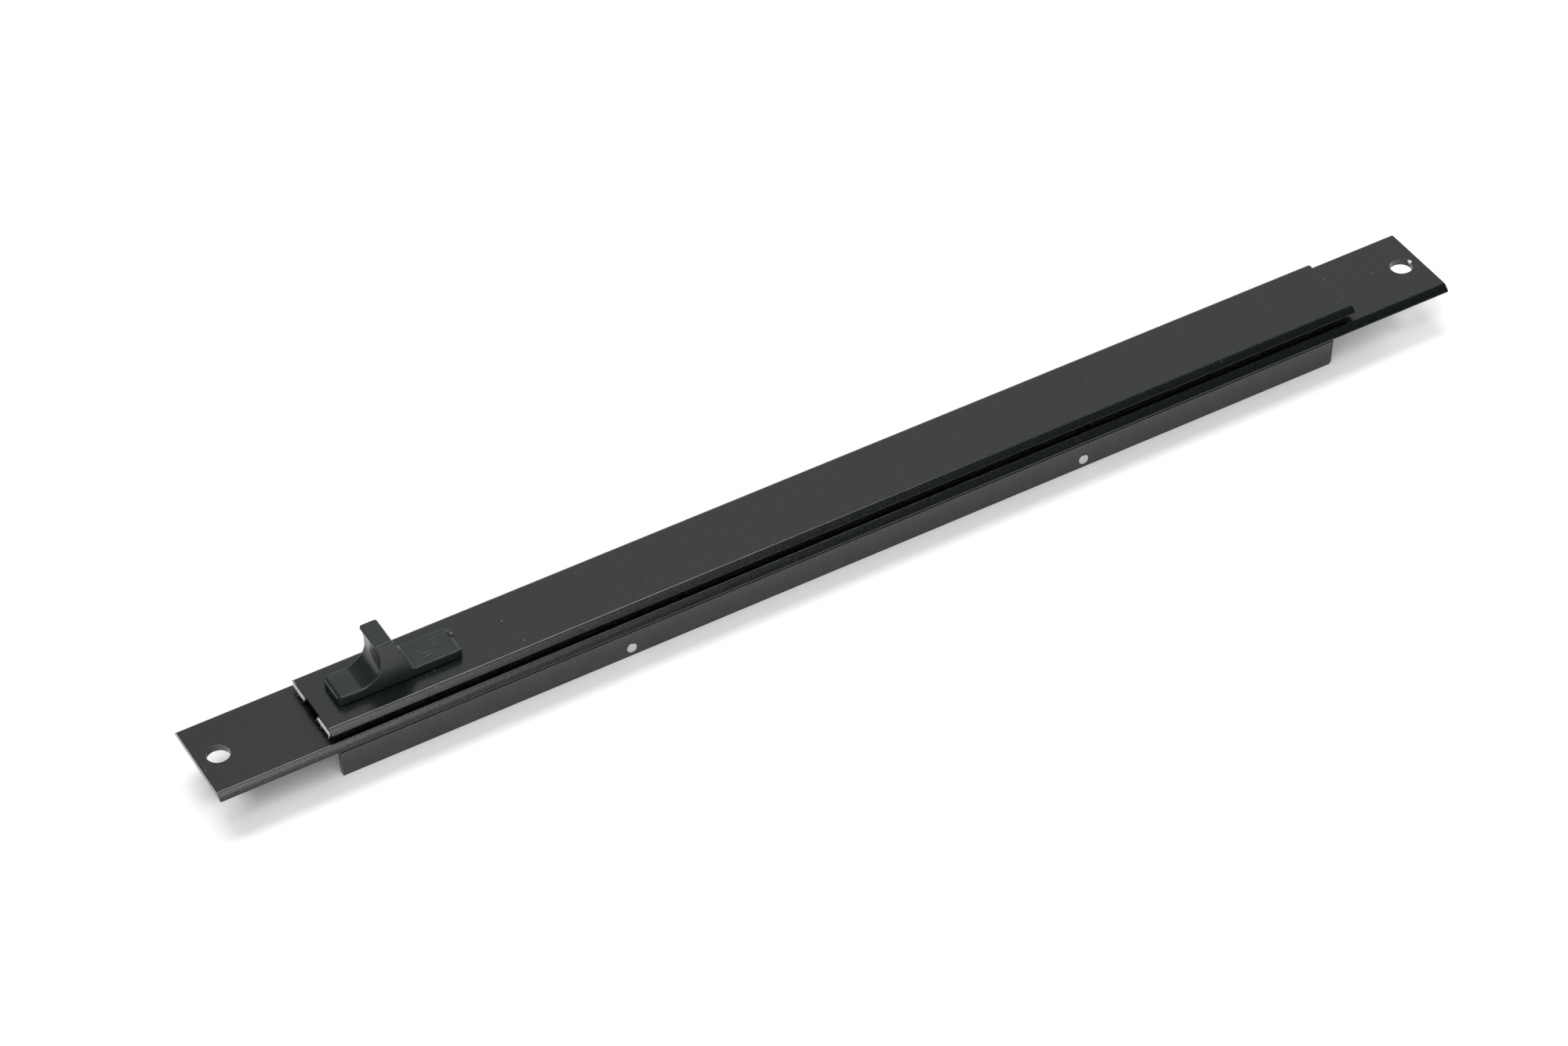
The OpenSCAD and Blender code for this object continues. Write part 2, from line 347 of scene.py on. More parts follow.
class Nodes:
    """Builds a material's nodes, all on Object coordinates."""

    def __init__(self, name: str) -> None:
        """Starts a material with a Principled shader.

        Args:
            name: Name of the material.
        """
        self.material = bpy.data.materials.new(name)
        self.material.use_nodes = True
        self.tree = self.material.node_tree
        self.tree.nodes.clear()
        self.out = self.add("ShaderNodeOutputMaterial")
        self.shader = self.add("ShaderNodeBsdfPrincipled")
        self.tree.links.new(self.shader.outputs["BSDF"], self.out.inputs["Surface"])
        self.coords = self.add("ShaderNodeTexCoord").outputs["Object"]

    def add(self, kind: str, **settings: object) -> bpy.types.Node:
        """Adds a node and sets its properties.

        Args:
            kind: Blender's name of the node's type.
            settings: Properties to set on it.

        Returns:
            The node.
        """
        node = self.tree.nodes.new(kind)
        for key, value in settings.items():
            setattr(node, key, value)
        return node

    def link(self, source: bpy.types.NodeSocket, target: bpy.types.NodeSocket) -> None:
        """Links two sockets."""
        self.tree.links.new(source, target)

    def stretched(self, scale: tuple[float, float, float]) -> bpy.types.NodeSocket:
        """Object coordinates scaled along each axis.

        Args:
            scale: Factor along X, Y and Z; zero flattens the axis.

        Returns:
            The vector socket.
        """
        mapping = self.add("ShaderNodeMapping")
        mapping.inputs["Scale"].default_value = scale
        self.link(self.coords, mapping.inputs["Vector"])
        return mapping.outputs["Vector"]

    def noise(self, size_mm: float, detail: float = 2.0, rough: float = 0.5,
              vector: bpy.types.NodeSocket | None = None) -> bpy.types.NodeSocket:
        """Noise whose features are about the given size.

        Args:
            size_mm: Feature size in millimetres.
            detail: Octaves.
            rough: Strength of the finer octaves.
            vector: Coordinates, or None for plain Object coordinates.

        Returns:
            The factor socket.
        """
        node = self.add("ShaderNodeTexNoise")
        node.inputs["Scale"].default_value = 1 / (size_mm * MM)
        node.inputs["Detail"].default_value = detail
        node.inputs["Roughness"].default_value = rough
        self.link(vector or self.coords, node.inputs["Vector"])
        return node.outputs["Fac"]

    def cells(self, size_mm: float) -> bpy.types.NodeSocket:
        """Distance to scattered points about one size apart.

        Args:
            size_mm: Distance between the points in millimetres.

        Returns:
            The distance socket, in units of the size.
        """
        node = self.add("ShaderNodeTexVoronoi")
        node.inputs["Scale"].default_value = 1 / (size_mm * MM)
        self.link(self.coords, node.inputs["Vector"])
        return node.outputs["Distance"]

    def ramp(self, source: bpy.types.NodeSocket, low: float, high: float,
             start: float, end: float) -> bpy.types.NodeSocket:
        """Maps source from [low, high] onto [start, end], clamped.

        Args:
            source: Number to map.
            low: Number that becomes start; it may be the larger of the two.
            high: Number that becomes end.
            start: Result at low.
            end: Result at high.

        Returns:
            The result socket.
        """
        node = self.add("ShaderNodeMapRange")
        node.inputs["From Min"].default_value = low
        node.inputs["From Max"].default_value = high
        node.inputs["To Min"].default_value = start
        node.inputs["To Max"].default_value = end
        self.link(source, node.inputs["Value"])
        return node.outputs["Result"]

    def axes(self) -> tuple[bpy.types.NodeSocket, ...]:
        """Object coordinates split along the axes.

        Returns:
            The sockets for X, Y and Z.
        """
        split = self.add("ShaderNodeSeparateXYZ")
        self.link(self.coords, split.inputs[0])
        return tuple(split.outputs)

    def distance(self, vector: bpy.types.NodeSocket,
                 point: tuple[float, float, float]) -> bpy.types.NodeSocket:
        """Distance from a fixed point.

        Args:
            vector: Coordinates to measure from.
            point: The point, in metres.

        Returns:
            The distance socket.
        """
        node = self.add("ShaderNodeVectorMath", operation="DISTANCE")
        node.inputs[1].default_value = point
        self.link(vector, node.inputs[0])
        return node.outputs["Value"]

    def calc(self, operation: str, *numbers: bpy.types.NodeSocket) -> bpy.types.NodeSocket:
        """Arithmetic on numbers.

        Args:
            operation: Blender's name of the operation, such as ABSOLUTE.
            numbers: What it works on.

        Returns:
            The result socket.
        """
        node = self.add("ShaderNodeMath", operation=operation)
        for number, target in zip(numbers, node.inputs):
            self.link(number, target)
        return node.outputs[0]

    def times(self, a: bpy.types.NodeSocket, b: bpy.types.NodeSocket) -> bpy.types.NodeSocket:
        """Product of two factors."""
        return self.calc("MULTIPLY", a, b)

    def blend(self, factor: bpy.types.NodeSocket, a: object,
              b: object) -> bpy.types.NodeSocket:
        """Mixes two colours.

        Args:
            factor: Share of the second one.
            a: First colour, as three numbers or a socket.
            b: Second colour, as three numbers or a socket.

        Returns:
            The colour socket.
        """
        node = self.add("ShaderNodeMix", data_type="RGBA")
        self.link(factor, node.inputs[0])
        for value, target in ((a, node.inputs[6]), (b, node.inputs[7])):
            if isinstance(value, bpy.types.NodeSocket):
                self.link(value, target)
            else:
                target.default_value = (*value, 1.0)
        return node.outputs[2]

    def bump(self, layers: Sequence[tuple[bpy.types.NodeSocket, float, float]]) -> None:
        """Stacks bump layers onto the shader's normal.

        Args:
            layers: For each layer, its height socket, height in millimetres and strength.
        """
        previous = None
        for height, distance, strength in layers:
            node = self.add("ShaderNodeBump")
            node.inputs["Distance"].default_value = distance * MM
            node.inputs["Strength"].default_value = strength
            self.link(height, node.inputs["Height"])
            if previous is not None:
                self.link(previous, node.inputs["Normal"])
            previous = node.outputs["Normal"]
        self.link(previous, self.shader.inputs["Normal"])

    def set(self, **values: float) -> None:
        """Sets plain numbers on the shader's own sockets, with _ for a space."""
        for key, value in values.items():
            self.shader.inputs[key.replace("_", " ")].default_value = value


@dataclass(frozen=True)
class PowderCoat:
    """Fine-texture satin black powder coat, with flecks, a little dust and bare rubbed spots.

    Attributes:
        name: Material name.
        holes: Centres along X, in metres, of screw holes whose walls show thin coat.
        hole_r: Radius that the thin coat reaches to, in metres.
        ends: Lowest and highest X, in metres, past which a sawn edge is rubbed.
        flap_shade_zone: Half length, half width and lowest Z, in metres, of a face under a
            cover,
        where the coat is painted near black and without flecks, as shade.
        chip: Centre and radius, in metres, of a bright burr.
        wall_light_z: Height, in metres, below which painted light makes the low walls paler.
    """

    name: str = "black_powder_coat"
    holes: tuple[float, ...] = ()
    hole_r: float = 0.00328
    ends: tuple[float, float] = (-1.0, 1.0)
    flap_shade_zone: tuple[float, float, float] = (0.0, 0.0, 1.0)
    chip: tuple[float, float, float, float] = (1.0, 1.0, 1.0, 0.0001)
    wall_light_z: float = -1.0

    shade: tuple[float, float, float] = (0.0006, 0.0030, 0.0026)
    pale: tuple[float, float, float] = (0.0040, 0.0058, 0.0054)
    dust: tuple[float, float, float] = (0.45, 0.45, 0.43)
    fleck: tuple[float, float, float] = (0.022, 0.026, 0.025)
    shade_under_flap_and_end_white: tuple[float, float, float] = (0.0003, 0.0005, 0.0005)
    wall_light: tuple[float, float, float] = (0.027, 0.0275, 0.0255)
    metal: tuple[float, float, float] = (0.07, 0.07, 0.064)
    sawn: tuple[float, float, float] = (0.30, 0.29, 0.27)
    bright: tuple[float, float, float] = (0.80, 0.80, 0.78)
    grain_mm: float = 0.40
    peel_mm: float = 1.3
    mottle_mm: float = 0.62
    fleck_mm: float = 0.23
    dust_gap_mm: float = 6.5
    wall_light_mm: float = 5.0
    thin_mm: float = 0.7
    rub_mm: float = 0.55
    roughness: float = 0.23
    index: float = 1.58

    def surface(self, n: Nodes) -> bpy.types.NodeSocket:
        """The coat itself: mottled black with pale flecks and sparse specks of dust.

        Args:
            n: The material's nodes.

        Returns:
            The colour socket.
        """
        mottle = n.ramp(n.noise(self.mottle_mm, 4.0, 0.62), 0.36, 0.66, 0.0, 1.0)
        speck = n.ramp(n.cells(self.dust_gap_mm), 0.014, 0.020, 1.0, 0.0)
        fleck = n.ramp(n.noise(self.fleck_mm, 1.0), 0.62, 0.74, 0.0, 0.55)
        coat = n.blend(mottle, self.shade, self.pale)
        return n.blend(speck, n.blend(fleck, coat, self.fleck), self.dust)

    def paint_shade_and_wall_light(self, n: Nodes, colour: bpy.types.NodeSocket) -> bpy.types.NodeSocket:
        """Paints shade on the face under the flap and light on the low walls.

        A point is in the painted shade where |x| and |y| are under the half length and half
        width and z is over the lowest height. The painted light starts at its height and is
        patchy.

        Args:
            n: The material's nodes.
            colour: Colour of the coat.

        Returns:
            The colour socket.
        """
        x, y, z = n.axes()
        half_l, half_w, low_z = self.flap_shade_zone
        # Painted shade: the face under the flap is coloured near black and loses its flecks,
        # where shade falls under the flap's lip.
        along = n.ramp(n.calc("ABSOLUTE", x), half_l, half_l - 0.001, 0.0, 1.0)
        across = n.ramp(n.calc("ABSOLUTE", y), half_w, half_w - 0.0003, 0.0, 1.0)
        above = n.ramp(z, low_z - 0.0001, low_z, 0.0, 1.0)
        colour = n.blend(n.times(n.times(along, across), above), colour, self.shade_under_flap_and_end_white)
        # Painted light: below this height the walls get a lighter, patchy colour, standing in
        # for the floor's light that they reflect.
        below = n.ramp(z, self.wall_light_z, self.wall_light_z - 0.0004, 0.0, 1.0)
        patchy = n.ramp(n.noise(self.wall_light_mm, 4.0, 0.6), 0.3, 0.7, 0.55, 1.0)
        return n.blend(n.times(below, patchy), colour, self.wall_light)

    def wear(self, n: Nodes, colour: bpy.types.NodeSocket) -> bpy.types.NodeSocket:
        """Thins the coat in the holes, adds the burr and rubs the sawn ends.

        Args:
            n: The material's nodes.
            colour: Colour so far.

        Returns:
            The colour socket.
        """
        flat = n.stretched((1.0, 1.0, 0.0))
        thin = n.ramp(n.noise(self.thin_mm, 4.0, 0.7), 0.34, 0.6, 0.25, 1.0)
        for x in self.holes:
            inside = n.ramp(n.distance(flat, (x, 0.0, 0.0)), self.hole_r,
                            self.hole_r - 0.00004, 0.0, 1.0)
            colour = n.blend(n.times(inside, thin), colour, self.metal)
        near = n.distance(n.coords, self.chip[:3])
        colour = n.blend(n.ramp(near, self.chip[3], self.chip[3] * 0.6, 0.0, 1.0), colour,
                         self.bright)
        rub = n.ramp(n.noise(self.rub_mm, 3.0, 0.7), 0.50, 0.60, 0.0, 1.0)
        for x, step in zip(self.ends, (-0.00008, 0.00008)):
            end = n.ramp(n.axes()[0], x, x + step, 0.0, 1.0)
            colour = n.blend(n.times(end, rub), colour, self.sawn)
        return colour

    def build(self) -> bpy.types.Material:
        """Makes the material.

        Returns:
            The material.
        """
        n = Nodes(self.name)
        grain = n.noise(self.grain_mm, 3.0, 0.6)
        peel = n.noise(self.peel_mm, 2.0)
        n.link(self.wear(n, self.paint_shade_and_wall_light(n, self.surface(n))), n.shader.inputs["Base Color"])
        n.link(n.ramp(grain, 0.3, 0.7, self.roughness - 0.06, self.roughness + 0.08),
               n.shader.inputs["Roughness"])
        n.set(IOR=self.index)
        n.bump([(peel, 0.03, 0.5), (grain, 0.013, 0.8)])
        return n.material


@dataclass(frozen=True)
class HookPlastic:
    """Satin moulded black plastic with fine spark texture, handling scuffs and pale edges
    painted on as highlights.
    """

    name: str = "black_hook_plastic"
    shade: tuple[float, float, float] = (0.0125, 0.0180, 0.0150)
    scuff: tuple[float, float, float] = (0.028, 0.031, 0.030)
    edge: tuple[float, float, float] = (0.060, 0.064, 0.062)
    spark_mm: float = 0.16
    flow_mm: float = 3.5
    scuff_mm: float = 2.4
    edge_highlight_mm: float = 1.1
    roughness: float = 0.27
    index: float = 1.45

    def build(self) -> bpy.types.Material:
        """Makes the material, with its edges found by how sharply the surface turns.

        Returns:
            The material.
        """
        n = Nodes(self.name)
        spark = n.noise(self.spark_mm, 3.0, 0.6)
        flow = n.noise(self.flow_mm, 3.0, 0.55, n.stretched((0.4, 1.0, 1.0)))
        rub = n.ramp(n.noise(self.scuff_mm, 5.0, 0.7), 0.57, 0.78, 0.0, 0.9)
        # Painted highlight: where the surface turns sharply, found by pointiness, the plastic
        # is coloured paler in patches, standing in for the lamps' reflection on its rounded
        # edges.
        corner = n.add("ShaderNodeNewGeometry").outputs["Pointiness"]
        edge_highlight = n.times(n.ramp(corner, 0.535, 0.60, 0.0, 1.0),
                       n.ramp(n.noise(self.edge_highlight_mm, 3.0, 0.6), 0.3, 0.6, 0.45, 1.0))
        plastic = n.blend(rub, self.shade, self.scuff)
        n.link(n.blend(edge_highlight, plastic, self.edge), n.shader.inputs["Base Color"])
        n.link(n.ramp(flow, 0.25, 0.75, self.roughness - 0.06, self.roughness + 0.10),
               n.shader.inputs["Roughness"])
        n.set(IOR=self.index)
        n.bump([(flow, 0.05, 0.25), (spark, 0.012, 0.35)])
        return n.material


@dataclass(frozen=True)
class BlackNylon:
    """Matt black nylon of the links and brackets."""

    shade: tuple[float, float, float] = (0.028, 0.028, 0.03)
    pale: tuple[float, float, float] = (0.045, 0.045, 0.047)
    fine_mm: float = 0.2
    wide_mm: float = 2.2

    def build(self) -> bpy.types.Material:
        """Makes the material.

        Returns:
            The material.
        """
        n = Nodes("black_nylon")
        fine = n.noise(self.fine_mm, 3.0)
        wide = n.noise(self.wide_mm, 2.0)
        n.link(n.blend(wide, self.shade, self.pale), n.shader.inputs["Base Color"])
        n.link(n.ramp(fine, 0.3, 0.7, 0.5, 0.62), n.shader.inputs["Roughness"])
        n.bump([(fine, 0.015, 0.4)])
        return n.material


@dataclass(frozen=True)
class NaturalNylon:
    """Off-white nylon of the spacer tubes."""

    shade: tuple[float, float, float] = (0.74, 0.72, 0.66)
    pale: tuple[float, float, float] = (0.82, 0.81, 0.77)
    line_mm: float = 0.25
    wide_mm: float = 2.0

    def build(self) -> bpy.types.Material:
        """Makes the material, with fine lines round the tube.

        Returns:
            The material.
        """
        n = Nodes("natural_nylon")
        turned = n.noise(self.line_mm, 2.0, 0.5, n.stretched((1.0, 6.0, 1.0)))
        n.link(n.blend(n.noise(self.wide_mm), self.shade, self.pale),
               n.shader.inputs["Base Color"])
        n.link(n.ramp(turned, 0.3, 0.7, 0.38, 0.5), n.shader.inputs["Roughness"])
        n.set(Subsurface_Weight=0.15)
        n.bump([(turned, 0.01, 0.3)])
        return n.material


@dataclass(frozen=True)
class BareMetal:
    """Drawn or rolled bare metal with lines along one axis.

    Attributes:
        name: Material name.
        shade: Colour of the metal.
        dull: Colour of its duller patches.
        lines: Coordinate stretch that sets the direction of the lines.
        roughness: Middle of the roughness range.
        line_mm: Spacing of the lines, in millimetres.
        patch_mm: Size of the duller patches, in millimetres.
    """

    name: str
    shade: tuple[float, float, float]
    dull: tuple[float, float, float]
    lines: tuple[float, float, float]
    roughness: float
    line_mm: float = 0.18
    patch_mm: float = 1.1

    def build(self) -> bpy.types.Material:
        """Makes the material.

        Returns:
            The material.
        """
        n = Nodes(self.name)
        line = n.noise(self.line_mm, 3.0, 0.6, n.stretched(self.lines))
        patch = n.noise(self.patch_mm, 3.0, 0.6)
        n.link(n.blend(n.ramp(patch, 0.35, 0.7, 0.0, 1.0), self.shade, self.dull),
               n.shader.inputs["Base Color"])
        n.link(n.ramp(line, 0.3, 0.7, self.roughness - 0.1, self.roughness + 0.12),
               n.shader.inputs["Roughness"])
        n.set(Metallic=1.0)
        n.bump([(line, 0.01, 0.4)])
        return n.material


@dataclass(frozen=True)
class WhitePile:
    """White polypropylene pile, painted grey as shade along its length under the flap's lip;
    its own white shows only at the cut ends.
    """

    shade: tuple[float, float, float] = (0.42, 0.42, 0.41)
    painted_shade_deep: tuple[float, float, float] = (0.24, 0.24, 0.235)
    shade_under_flap_and_end_white: tuple[float, float, float] = (0.82, 0.82, 0.80)
    ends: tuple[float, float] = (-0.1566, 0.1593)
    strand_mm: float = 0.12
    patch_mm: float = 1.3

    def build(self) -> bpy.types.Material:
        """Makes the material.

        Returns:
            The material.
        """
        n = Nodes("white_pile")
        strand = n.noise(self.strand_mm, 2.0, 0.6, n.stretched((1.0, 1.0, 0.15)))
        # Painted shade: the pile is coloured mid and deep grey along its length, where it lies
        # in shade under the flap's lip, and keeps its own white only at the cut ends.
        colour = n.blend(n.noise(self.patch_mm, 3.0), self.painted_shade_deep, self.shade)
        for x, step in zip(self.ends, (-0.0002, 0.0002)):
            colour = n.blend(n.ramp(n.axes()[0], x, x + step, 0.0, 1.0), colour, self.shade_under_flap_and_end_white)
        n.link(colour, n.shader.inputs["Base Color"])
        n.link(n.ramp(strand, 0.3, 0.7, 0.55, 0.75), n.shader.inputs["Roughness"])
        n.set(Subsurface_Weight=0.1)
        n.bump([(strand, 0.06, 0.6)])
        return n.material


@dataclass(frozen=True)
class WovenTape:
    """Woven backing tape, with threads along and across it."""

    shade: tuple[float, float, float] = (0.78, 0.78, 0.76)
    shadow: tuple[float, float, float] = (0.6, 0.6, 0.58)
    threads: float = 420.0

    def build(self) -> bpy.types.Material:
        """Makes the material from two bands of waves, one along X and one along Y.

        Returns:
            The material.
        """
        n = Nodes("woven_tape")
        warp = n.add("ShaderNodeTexWave", wave_type="BANDS", bands_direction="Y")
        weft = n.add("ShaderNodeTexWave", wave_type="BANDS", bands_direction="X")
        for wave in (warp, weft):
            wave.inputs["Scale"].default_value = self.threads
            wave.inputs["Distortion"].default_value = 0.6
            n.link(n.coords, wave.inputs["Vector"])
        n.link(n.blend(warp.outputs["Fac"], self.shadow, self.shade),
               n.shader.inputs["Base Color"])
        n.link(n.ramp(n.noise(0.6), 0.3, 0.7, 0.5, 0.65), n.shader.inputs["Roughness"])
        n.bump([(warp.outputs["Fac"], 0.05, 0.5), (weft.outputs["Fac"], 0.05, 0.4)])
        return n.material


class Finish(Enum):
    """The finishes that a piece can have."""

    BASE_COAT = "black_powder_coat"
    FLAP_COAT = "black_powder_coat_flap"
    HOOK = "black_hook_plastic"
    TORN = "black_hook_plastic_torn"
    BLACK_NYLON = "black_nylon"
    NATURAL_NYLON = "natural_nylon"
    PIN = "pin_aluminium"
    SPRING = "spring_steel"
    TAPE = "white_tape"
    PILE = "white_pile"


class Paintbox:
    """Holds one material for each finish."""

    def __init__(self) -> None:
        """Builds every material once."""
        self.materials = {
            Finish.BASE_COAT: PowderCoat(holes=(-0.1839, 0.1839), ends=(-0.18992, 0.2),
                                         flap_shade_zone=(0.1571, 0.0129, 0.0019),
                                         chip=(0.18702, 0.0005, 0.0019, 0.0008), wall_light_z=-0.0004,
                                         sawn=(0.15, 0.155, 0.16)).build(),
            Finish.FLAP_COAT: PowderCoat(name="black_powder_coat_flap",
                                         ends=(-0.2, 0.15965)).build(),
            Finish.HOOK: HookPlastic().build(),
            Finish.TORN: HookPlastic(name="black_hook_plastic_torn", shade=(0.16, 0.165, 0.16),
                                     scuff=(0.5, 0.5, 0.49)).build(),
            Finish.BLACK_NYLON: BlackNylon().build(),
            Finish.NATURAL_NYLON: NaturalNylon().build(),
            Finish.PIN: BareMetal("pin_aluminium", (0.78, 0.78, 0.77), (0.62, 0.62, 0.61),
                                  (1.0, 0.06, 1.0), 0.42).build(),
            Finish.SPRING: BareMetal("spring_steel", (0.56, 0.56, 0.57), (0.42, 0.42, 0.43),
                                     (0.06, 1.0, 1.0), 0.36).build(),
            Finish.TAPE: WovenTape().build(),
            Finish.PILE: WhitePile().build(),
        }

    def dress(self, obj: bpy.types.Object, finish: Finish) -> None:
        """Gives the object one finish in place of whatever it had."""
        obj.data.materials.clear()
        obj.data.materials.append(self.materials[finish])


def install(obj: bpy.types.Object, body: str, finish: Finish, paints: Paintbox,
            *nodes: str) -> None:
    """Dresses a finished piece, hangs it on its body and hides the nodes it stands for.

    Args:
        obj: The piece.
        body: Body that it moves with.
        finish: Its finish.
        paints: The materials.
        nodes: CAD nodes that it stands for.
    """
    paints.dress(obj, finish)
    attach(obj, body)
    if nodes:
        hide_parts(*nodes)
    LOG.info("%s: %d faces on %s", obj.name, len(obj.data.polygons), body)


# ---------------------------------------------------------------------------
# Sub-assemblies
# ---------------------------------------------------------------------------


@dataclass
class BasePlate:
    """The bevelled plate and its two legs, one extrusion."""

    length: float = 380.0
    width: float = 29.0
    flat: float = 25.6
    thick: float = 2.0
    land: float = 0.4
    crown: float = 0.05
    hole_x: float = 183.9
    hole_d: float = 6.4
    hole_rim: float = 0.09
    leg_out: float = 10.0
    leg_t: float = 1.8
    leg_l: float = 309.4
    leg_h: float = 13.2
    relief_h: float = 5.0
    relief_d: float = 0.7
    end_slope: float = 1.1
    end_r: float = 1.3
    slots_l: float = 290.0
    slot_n: int = 3
    slot_w: float = 11.0
    bridge_w: float = 6.0
    pin_x: tuple[float, float] = (-69.7, 71.5)
    pin_z: float = -10.3
    pin_r: float = 1.51
    land_r: float = 0.12
    lip_r: float = 0.26
    bevel_r: float = 9.0
    flat_r: float = 1.0
    end_rim: float = 0.18
    edge_r: float = 0.12
    reach: float = 20.0

    def plate(self) -> bpy.types.Object:
        """The plate: an outline with slightly crowned bevels, carried along X.

        The crown moves the middle of each bevel outwards along (t - h, w - f).

        Returns:
            The plate.
        """
        w, f, h, t = self.width / 2, self.flat / 2, self.land, self.thick
        crown = self.crown * np.array([t - h, w - f]) / math.hypot(t - h, w - f)
        mid = np.array([(w + f) / 2, (h + t) / 2]) + crown
        corners = np.array([[-w, 0], [w, 0], [w, h], mid, [f, t],
                            [-f, t], mid * [-1, 1], [-w, h]])
        half = np.array([self.land_r, self.lip_r, self.bevel_r, self.flat_r])
        radii = np.concatenate([half[:1], half, half[:0:-1]])
        loop = round_corners(corners, radii)
        return prism("base_plate", loop, -self.length / 2, self.length / 2, self.end_rim, on_x)

    def leg(self, side: int) -> bpy.types.Object:
        """One leg: an outline with a shallow relief under the plate, carried along X.

        Args:
            side: -1 for the front leg, 1 for the rear one.

        Returns:
            The leg, a little too long at both ends.
        """
        out, inner = self.leg_out, self.leg_out - self.leg_t
        corners = np.array([[inner, self.thick / 2], [out - self.relief_d, self.thick / 2],
                            [out - self.relief_d, -self.relief_h], [out, -self.relief_h],
                            [out, -self.leg_h], [inner, -self.leg_h]])
        corners[:, 0] *= side
        loop = round_corners(corners, np.array([0, 0, 0.05, 0.14, 0.2, 0.2]), 4)
        return prism("leg", loop, -self.leg_l / 2 - 2, self.leg_l / 2 + 2, 0.0, on_x)

    def leg_outline(self) -> bpy.types.Object:
        """The legs' side view, with a sloping right end and a round lower corner, along Y.

        Its lowest points go a little under the legs, so that their lower faces aren't cut.

        Returns:
            The solid that trims the legs.
        """
        half, over, under = self.leg_l / 2, 4.0, 0.05
        corners = np.array([[-half, over], [-half, -self.leg_h],
                            [half - self.end_slope, -self.leg_h],
                            [half + self.end_slope * over / self.leg_h, over]])
        loop = round_corners(corners, np.array([0, 0.3, self.end_r, 0]))
        lowest = loop[:, 1] < -self.leg_h + 1e-6
        loop[:, 1] = np.where(lowest, -self.leg_h - under, loop[:, 1])
        return prism("outline", loop, -self.reach, self.reach, 0.0, on_y)

    def cutters(self) -> list[bpy.types.Object]:
        """Cutters for the holes, flared for the screws and plain for the slots and pins.

        Returns:
            The cutters, one for each hole.
        """
        made = [flared_cutter("hole", stadium(x, x, 0, self.hole_d / 2), 0.0, self.thick,
                              self.hole_rim) for x in (-self.hole_x, self.hole_x)]
        slot_l = (self.slots_l - (self.slot_n - 1) * self.bridge_w) / self.slot_n
        r = self.slot_w / 2
        for i in range(self.slot_n):
            x0 = -self.slots_l / 2 + i * (slot_l + self.bridge_w)
            made.append(prism("slot", stadium(x0 + r, x0 + slot_l - r, 0, r), -1.0,
                              self.thick + 1.0, 0.0, on_z))
        for x in self.pin_x:
            made.append(prism("pin_hole", stadium(x, x, self.pin_z, self.pin_r), -self.reach,
                              self.reach, 0.0, on_y))
        return made

    def build(self, paints: Paintbox) -> None:
        """Makes the extrusion and puts it in place.

        Args:
            paints: The materials.
        """
        legs = self.leg(-1)
        combine(legs, [self.leg(1)], "UNION")
        combine(legs, [self.leg_outline()], "INTERSECT")
        body = self.plate()
        body.name = "base_extrusion_skin"
        combine(body, [legs], "UNION")
        combine(body, self.cutters(), "DIFFERENCE")
        soften_edges(body, self.edge_r, 50.0)
        finish_shading(body)
        install(body, "base", Finish.BASE_COAT, paints, "base_extrusion")


@dataclass
class CrossPins:
    """The two cross pins, with turned ends that stand a little out of the legs."""

    x: tuple[float, float] = (-69.7, 71.5)
    z: float = -10.3
    r: float = 1.5
    half: float = 10.3
    rim: float = 0.25

    def build(self, paints: Paintbox) -> None:
        """Makes each pin as a round outline along Y with a soft rim.

        Args:
            paints: The materials.
        """
        for name, x in zip(("a", "b"), self.x):
            pin = prism(f"cross_pin_{name}", stadium(x, x, self.z, self.r),
                        -self.half, self.half, self.rim, on_y)
            finish_shading(pin)
            install(pin, "base", Finish.PIN, paints, f"pivot_pin_{name}")


